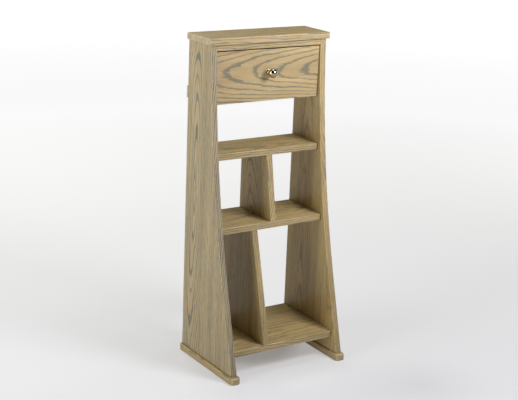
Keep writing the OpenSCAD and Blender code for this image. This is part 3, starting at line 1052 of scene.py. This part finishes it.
@dataclass
class Knob:
    """The turned knob. Radii and distances from the drawer front are in millimetres.

    Attributes:
        metal: its metal.
        rose_r: radius of its foot.
        rose_t: thickness of its foot.
        rose_ease: radius of the foot's edge.
        neck_r: radius of the neck where it is thinnest.
        neck_place: where that is, as a share of half the way from the foot to the ball's middle.
        ball_r: radius of the ball.
        ball_reach: distance of the ball's middle.
        crease: width left free on both sides of the crease between neck and ball.
        steps: steps of a full turn.
        ball_steps: steps of the ball's outline.
        neck_steps: steps of the neck's outline.
        ease_steps: steps of the outline of the foot's edge.
        halvings: steps of the search for the place where the ball starts.
        smooth: edges that turn by less than this angle are shaded smoothly.
        close: points that are closer than this, in metres, are one point.
    """

    metal: Metal
    rose_r: float = 8.5
    rose_t: float = 2.5
    rose_ease: float = 0.6
    neck_r: float = 4.5
    neck_place: float = 0.7
    ball_r: float = 14.0
    ball_reach: float = 21.0
    crease: float = 0.4
    steps: int = 96
    ball_steps: int = 40
    neck_steps: int = 12
    ease_steps: int = 4
    halvings: int = 30
    smooth: float = math.radians(50)
    close: float = 0.005 * MM

    def profile(self) -> list[tuple[float, float]]:
        """Works out the outline that is turned.

        Returns:
            Points as distance from the drawer front and radius, from the back to the tip.
        """
        ease = self.rose_ease
        points = [(0.0, 0.0), (0.0, self.rose_r - ease / 2), (ease / 2, self.rose_r)]
        for step in range(self.ease_steps + 1):
            turn = math.radians(90 * step / self.ease_steps)
            d = self.rose_t - ease + ease * math.sin(turn)
            points.append((d, self.rose_r - ease + ease * math.cos(turn)))
        cove_r = (self.ball_reach - self.rose_t) / 2
        cove_d = self.rose_t + self.neck_place * cove_r
        meet = self.ball_meets_cove(cove_r, cove_d)
        for step in range(self.neck_steps + 1):
            d = self.rose_t + (meet - self.crease - self.rose_t) * step / self.neck_steps
            points.append((d, self.neck_r + cove_r - math.sqrt(cove_r**2 - (d - cove_d) ** 2)))
        start = math.acos((self.ball_reach - meet - self.crease) / self.ball_r)
        for step in range(self.ball_steps):
            turn = start + (math.pi - start) * step / self.ball_steps
            d = self.ball_reach - self.ball_r * math.cos(turn)
            points.append((d, self.ball_r * math.sin(turn)))
        return points + [(self.ball_reach + self.ball_r, 0.0)]

    def ball_meets_cove(self, cove_r: float, cove_d: float) -> float:
        """Finds where the ball starts, by halving.

        Args:
            cove_r: radius of the hollow round the neck.
            cove_d: distance of that hollow's middle from the drawer front.

        Returns:
            The distance from the drawer front at which ball and hollow meet.
        """
        low, high = self.ball_reach - self.ball_r, cove_d
        for _ in range(self.halvings):
            d = (low + high) / 2
            ball = math.sqrt(self.ball_r**2 - (d - self.ball_reach) ** 2)
            cove = self.neck_r + cove_r - math.sqrt(cove_r**2 - (d - cove_d) ** 2)
            low, high = (low, d) if ball > cove else (d, high)
        return low

    def build(self) -> list[bpy.types.Object]:
        """Turns the knob.

        Returns:
            The knob alone.
        """
        low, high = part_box("knob")
        centre = Vector(((low.x + high.x) / 2, high.y, (low.z + high.z) / 2))
        points = [centre + Vector((0, -d, r)) * MM for d, r in self.profile()]
        bpy.ops.object.select_all(action="DESELECT")
        bpy.ops.mesh.primitive_plane_add(size=MM)
        obj = bpy.context.view_layer.objects.active
        obj.name = "turned_knob"
        obj.data.name = obj.name
        bpy.ops.object.mode_set(mode="EDIT")
        bpy.ops.mesh.select_all(action="SELECT")
        bpy.ops.mesh.merge(type="CENTER")
        bpy.ops.transform.translate(value=points[0])
        for last, point in zip(points, points[1:]):
            bpy.ops.mesh.extrude_region_move(TRANSFORM_OT_translate={"value": point - last})
        bpy.ops.mesh.select_all(action="SELECT")
        bpy.ops.mesh.spin(
            steps=self.steps, angle=2 * math.pi, center=centre, axis=(0, 1, 0), use_auto_merge=True
        )
        bpy.ops.mesh.select_all(action="SELECT")
        bpy.ops.mesh.remove_doubles(threshold=self.close)
        bpy.ops.mesh.normals_make_consistent(inside=False)
        out_of_edit_mode()
        alone(obj)
        bpy.ops.object.shade_smooth_by_angle(angle=self.smooth)
        wear(obj, self.metal.material("polished_nickel"))
        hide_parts("knob")
        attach(obj, "drawer")
        return [obj]


@dataclass
class Screws:
    """The screws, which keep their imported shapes.

    Attributes:
        metal: their metal.
        nodes: their nodes.
    """

    metal: Metal
    nodes: tuple[str, ...] = (
        "top_screws", "foot_screws", "runner_screws", "cleat_screws", "front_screws", "knob_screw",
    )

    def build(self) -> list[bpy.types.Object]:
        """Gives every screw its steel.

        Returns:
            The screws.
        """
        steel = self.metal.material("bright_steel")
        screws = [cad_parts[node] for node in self.nodes]
        for obj in screws:
            wear(obj, steel)
        return screws


@dataclass(frozen=True)
class Softbox:
    """A square studio light.

    Attributes:
        name: its name.
        place: where it stands, in metres.
        aim: the point that it faces.
        size: its width in metres.
        watts: its power.
        colour: its colour.
        spread: how wide its grid lets the light out, in degrees.
    """

    name: str
    place: tuple[float, float, float]
    aim: tuple[float, float, float]
    size: float
    watts: float
    colour: Colour = WHITE
    spread: float = 180.0

    def build(self) -> None:
        """Sets up the light."""
        data = bpy.data.lights.new(self.name, "AREA")
        data.shape = "SQUARE"
        data.size = self.size
        data.energy = self.watts
        data.color = self.colour
        data.spread = math.radians(self.spread)
        lamp = bpy.data.objects.new(self.name, data)
        lamp.visible_camera = False
        bpy.context.collection.objects.link(lamp)
        lamp.location = self.place
        towards = Vector(self.aim) - Vector(self.place)
        lamp.rotation_euler = towards.to_track_quat("-Z", "Y").to_euler()


@dataclass
class Studio:
    """The floor, the lights and the camera. Metres, with angles in radians.

    Attributes:
        eye: the camera's place.
        turn: how far it is turned to the right of the tower's depth axis.
        tilt: how far it looks down.
        roll: how far it leans.
        lens: its focal length in mm.
        sensor: width of its sensor in mm.
        floor_size: width of the floor.
        paper: lightness of the floor's paper.
        matt: roughness of the paper.
        specular: strength of the paper's own reflection.
        dim_place: the place on the floor where its painted glow is weakest, a painted shade near
            the tower.
        glow: how brightly the floor glows, as distance from that place and brightness; painted
            light, which also lights the tower.
        shade_place: the middle of the painted shadow that darkens the floor's glow under the
            tower.
        shade_reach: the distances from there at which the painted shadow starts to fade and is
            gone.
        shade: the share of the glow that is left in the painted shadow.
        air: brightness of the surroundings as they light the tower.
    """

    eye: tuple[float, float, float] = (-1.93504, -2.87213, 1.50900)
    turn: float = 0.58505
    tilt: float = 0.28552
    roll: float = -0.0413
    lens: float = 84.734
    sensor: float = 36.0
    floor_size: float = 60.0
    paper: float = 0.42
    matt: float = 0.9
    specular: float = 0.2
    dim_place: tuple[float, float] = (0.3, -0.4)
    glow: tuple[tuple[float, float], ...] = (
        (0.0, 0.24), (0.2, 0.33), (0.45, 0.37), (0.8, 0.44), (1.7, 0.57), (3.8, 0.90), (8.7, 1.08)
    )
    shade_place: tuple[float, float] = (0.0, 0.1)
    shade_reach: tuple[float, float] = (0.12, 0.20)
    shade: float = 0.62
    air: float = 0.01
    softboxes: tuple[Softbox, ...] = (
        Softbox("key", (0.53, -0.96, 1.45), (0, 0, 0.5), 0.5, 17.0, (0.98, 0.98, 1.08)),
        Softbox("left_high", (-1.2, 0.1, 1.5), (0, 0, 0.5), 0.8, 6.5, (0.94, 0.98, 1.06)),
        Softbox("left_low", (-5.0, -0.5, 1.0), (0, 0, 0.4), 2.0, 26.0, (1.0, 0.98, 0.91), 90),
        Softbox("right", (4.5, 1.0, 1.2), (0, 0, 0.5), 1.6, 13.0, (1.0, 0.98, 0.93), 90),
        Softbox("top", (0.1, -0.1, 2.3), (0, 0, 0.5), 0.7, 6.5),
        Softbox("back", (0.3, 2.3, 2.3), (0, 0, 0.5), 1.2, 27.0, (1.0, 0.99, 0.92)),
    )

    def camera(self) -> None:
        """Sets up the camera where the photograph was taken from."""
        ahead = Vector((
            math.sin(self.turn) * math.cos(self.tilt),
            math.cos(self.turn) * math.cos(self.tilt),
            -math.sin(self.tilt),
        ))
        level = Vector((math.cos(self.turn), -math.sin(self.turn), 0.0))
        below = ahead.cross(level)
        right = math.cos(self.roll) * level + math.sin(self.roll) * below
        down = math.cos(self.roll) * below - math.sin(self.roll) * level
        data = bpy.data.cameras.new("camera")
        data.lens = self.lens
        data.sensor_width = self.sensor
        camera = bpy.data.objects.new("camera", data)
        bpy.context.collection.objects.link(camera)
        columns = Matrix((right, -down, -ahead)).transposed()
        camera.matrix_world = Matrix.Translation(self.eye) @ columns.to_4x4()
        bpy.context.scene.camera = camera

    def floor(self) -> None:
        """Lays the floor, whose painted glow grows brighter away from the tower, with a painted
        shadow under it.
        """
        bpy.ops.object.select_all(action="DESELECT")
        bpy.ops.mesh.primitive_plane_add(size=self.floor_size)
        obj = bpy.context.view_layer.objects.active
        obj.name = "studio_floor"
        graph = Graph(bpy.data.materials.new("studio_paper"))
        dimness = self.distance(graph, self.dim_place)
        furthest = self.glow[-1][0]
        stops = [(reach / furthest, (bright, bright, bright)) for reach, bright in self.glow]
        ramp = graph.node("ShaderNodeValToRGB", {"stops": stops}, {0: dimness / furthest})
        # painted shadow: the floor's glow is darkened under the tower
        painted_shadow_mask = 1.0 - self.distance(graph, self.shade_place).smooth(*self.shade_reach)
        wear(obj, graph.finish(
            Base_Color=(self.paper, self.paper, self.paper, 1.0),
            Roughness=self.matt,
            Specular_IOR_Level=self.specular,
            # painted light: the floor glows by itself, brighter away from the tower
            Emission_Color=graph.blend(painted_shadow_mask * (1.0 - self.shade), ramp.outputs[0], BLACK),
            Emission_Strength=1.0,
        ))

    @staticmethod
    def distance(graph: Graph, place: tuple[float, float]) -> Sock:
        """Measures how far a point of the floor is from a place.

        Args:
            graph: the floor's graph.
            place: the place's x and y.

        Returns:
            The distance in metres.
        """
        x, y, _ = graph.axes("Object")
        side, depth = x - place[0], y - place[1]
        return (side * side + depth * depth).root()

    def surroundings(self) -> None:
        """Makes the air white to the camera, and of its own brightness as a light."""
        bpy.context.scene.world = bpy.data.worlds.new("studio_air")
        graph = Graph(bpy.context.scene.world)
        white = (*WHITE, 1.0)
        path = graph.node("ShaderNodeLightPath", {}, {})
        seen = graph.node("ShaderNodeBackground", {}, {"Color": white})
        lit = graph.node("ShaderNodeBackground", {}, {"Color": white, "Strength": self.air})
        mix = graph.node(
            "ShaderNodeMixShader",
            {},
            {0: path.outputs["Is Camera Ray"], 1: lit.outputs[0], 2: seen.outputs[0]},
        )
        graph.node("ShaderNodeOutputWorld", {}, {"Surface": mix.outputs[0]})

    def build(self) -> None:
        """Sets up the whole studio."""
        self.camera()
        self.floor()
        self.surroundings()
        for softbox in self.softboxes:
            softbox.build()
        bpy.context.scene.view_settings.view_transform = "Standard"
        LOG.info("studio: %d lights", len(self.softboxes))


def main() -> None:
    """Dresses the tower and sets up the studio round it."""
    logging.basicConfig(level=logging.INFO, format="%(name)s: %(message)s")
    oak = Wood()
    plain = Wood(
        ground=(0.62, 0.49, 0.30),
        band=(0.50, 0.385, 0.23),
        deep=(0.32, 0.23, 0.14),
        edge=WHITE,
        figure=0.5,
        satin=0.5,
    )
    nickel = Metal()
    steel = Metal(colour=(0.62, 0.61, 0.58), rough=0.28, dull=0.15)
    joiner = Joiner()
    assemblies = (
        Carcase(joiner, oak, plain), Drawer(joiner, oak, plain), Knob(nickel), Screws(steel),
    )
    for assembly in assemblies:
        for piece in assembly.build():
            LOG.info("%s: %d faces", piece.name, len(piece.data.polygons))
    Studio().build()


if __name__ == "__main__":
    main()
